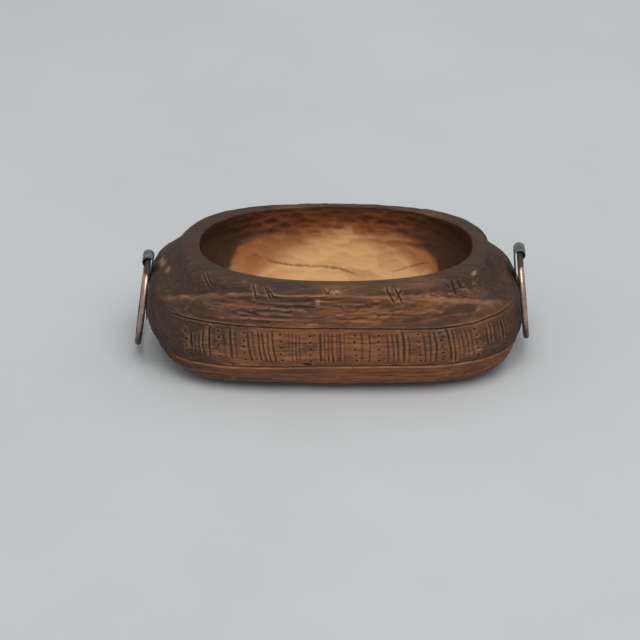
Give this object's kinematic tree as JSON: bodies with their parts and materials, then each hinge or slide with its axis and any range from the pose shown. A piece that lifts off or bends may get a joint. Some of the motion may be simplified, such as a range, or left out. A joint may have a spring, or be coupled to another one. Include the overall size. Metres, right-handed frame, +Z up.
{
  "type": "carved wooden dish",
  "caption": "Deep oblong hand-carved wooden dish with a carved band round its side and a loose metal ring handle hanging from a rolled strap eye at each end.",
  "frame": {"origin": "middle of the flat foot that the dish stands on", "axes": "+X along the dish towards its right handle, +Y away from the carved long side that faces the viewer, +Z up"},
  "size_m": [0.2539, 0.1276, 0.079],
  "materials": {
    "carved_wood": "dark oiled outside with worn brown edges, pale bare wood inside",
    "grey_iron": "dull grey sheet iron",
    "nail_iron": "dark forged iron",
    "copper_wire": "tarnished copper with worn bright edges"
  },
  "bodies": {
    "root": {"bowl": "carved_wood", "left_strap": "grey_iron", "right_strap": "grey_iron", "left_nail_upper": "nail_iron", "left_nail_lower": "nail_iron", "right_nail_upper": "nail_iron", "right_nail_lower": "nail_iron"},
    "left_ring": {"left_ring": "copper_wire"},
    "right_ring": {"right_ring": "copper_wire"}
  },
  "joints": [
    {"name": "left_ring_swing", "type": "hinge", "parent": "root", "child": "left_ring", "pos_m": [-0.1177, 0, 0.0665], "axis": [-0.0227, 0.9997, 0], "range_deg": [-7.5, 235]},
    {"name": "right_ring_swing", "type": "hinge", "parent": "root", "child": "right_ring", "pos_m": [0.1175, 0, 0.0732], "axis": [-0.0262, -0.9997, 0], "range_deg": [-2, 247]}
  ]
}
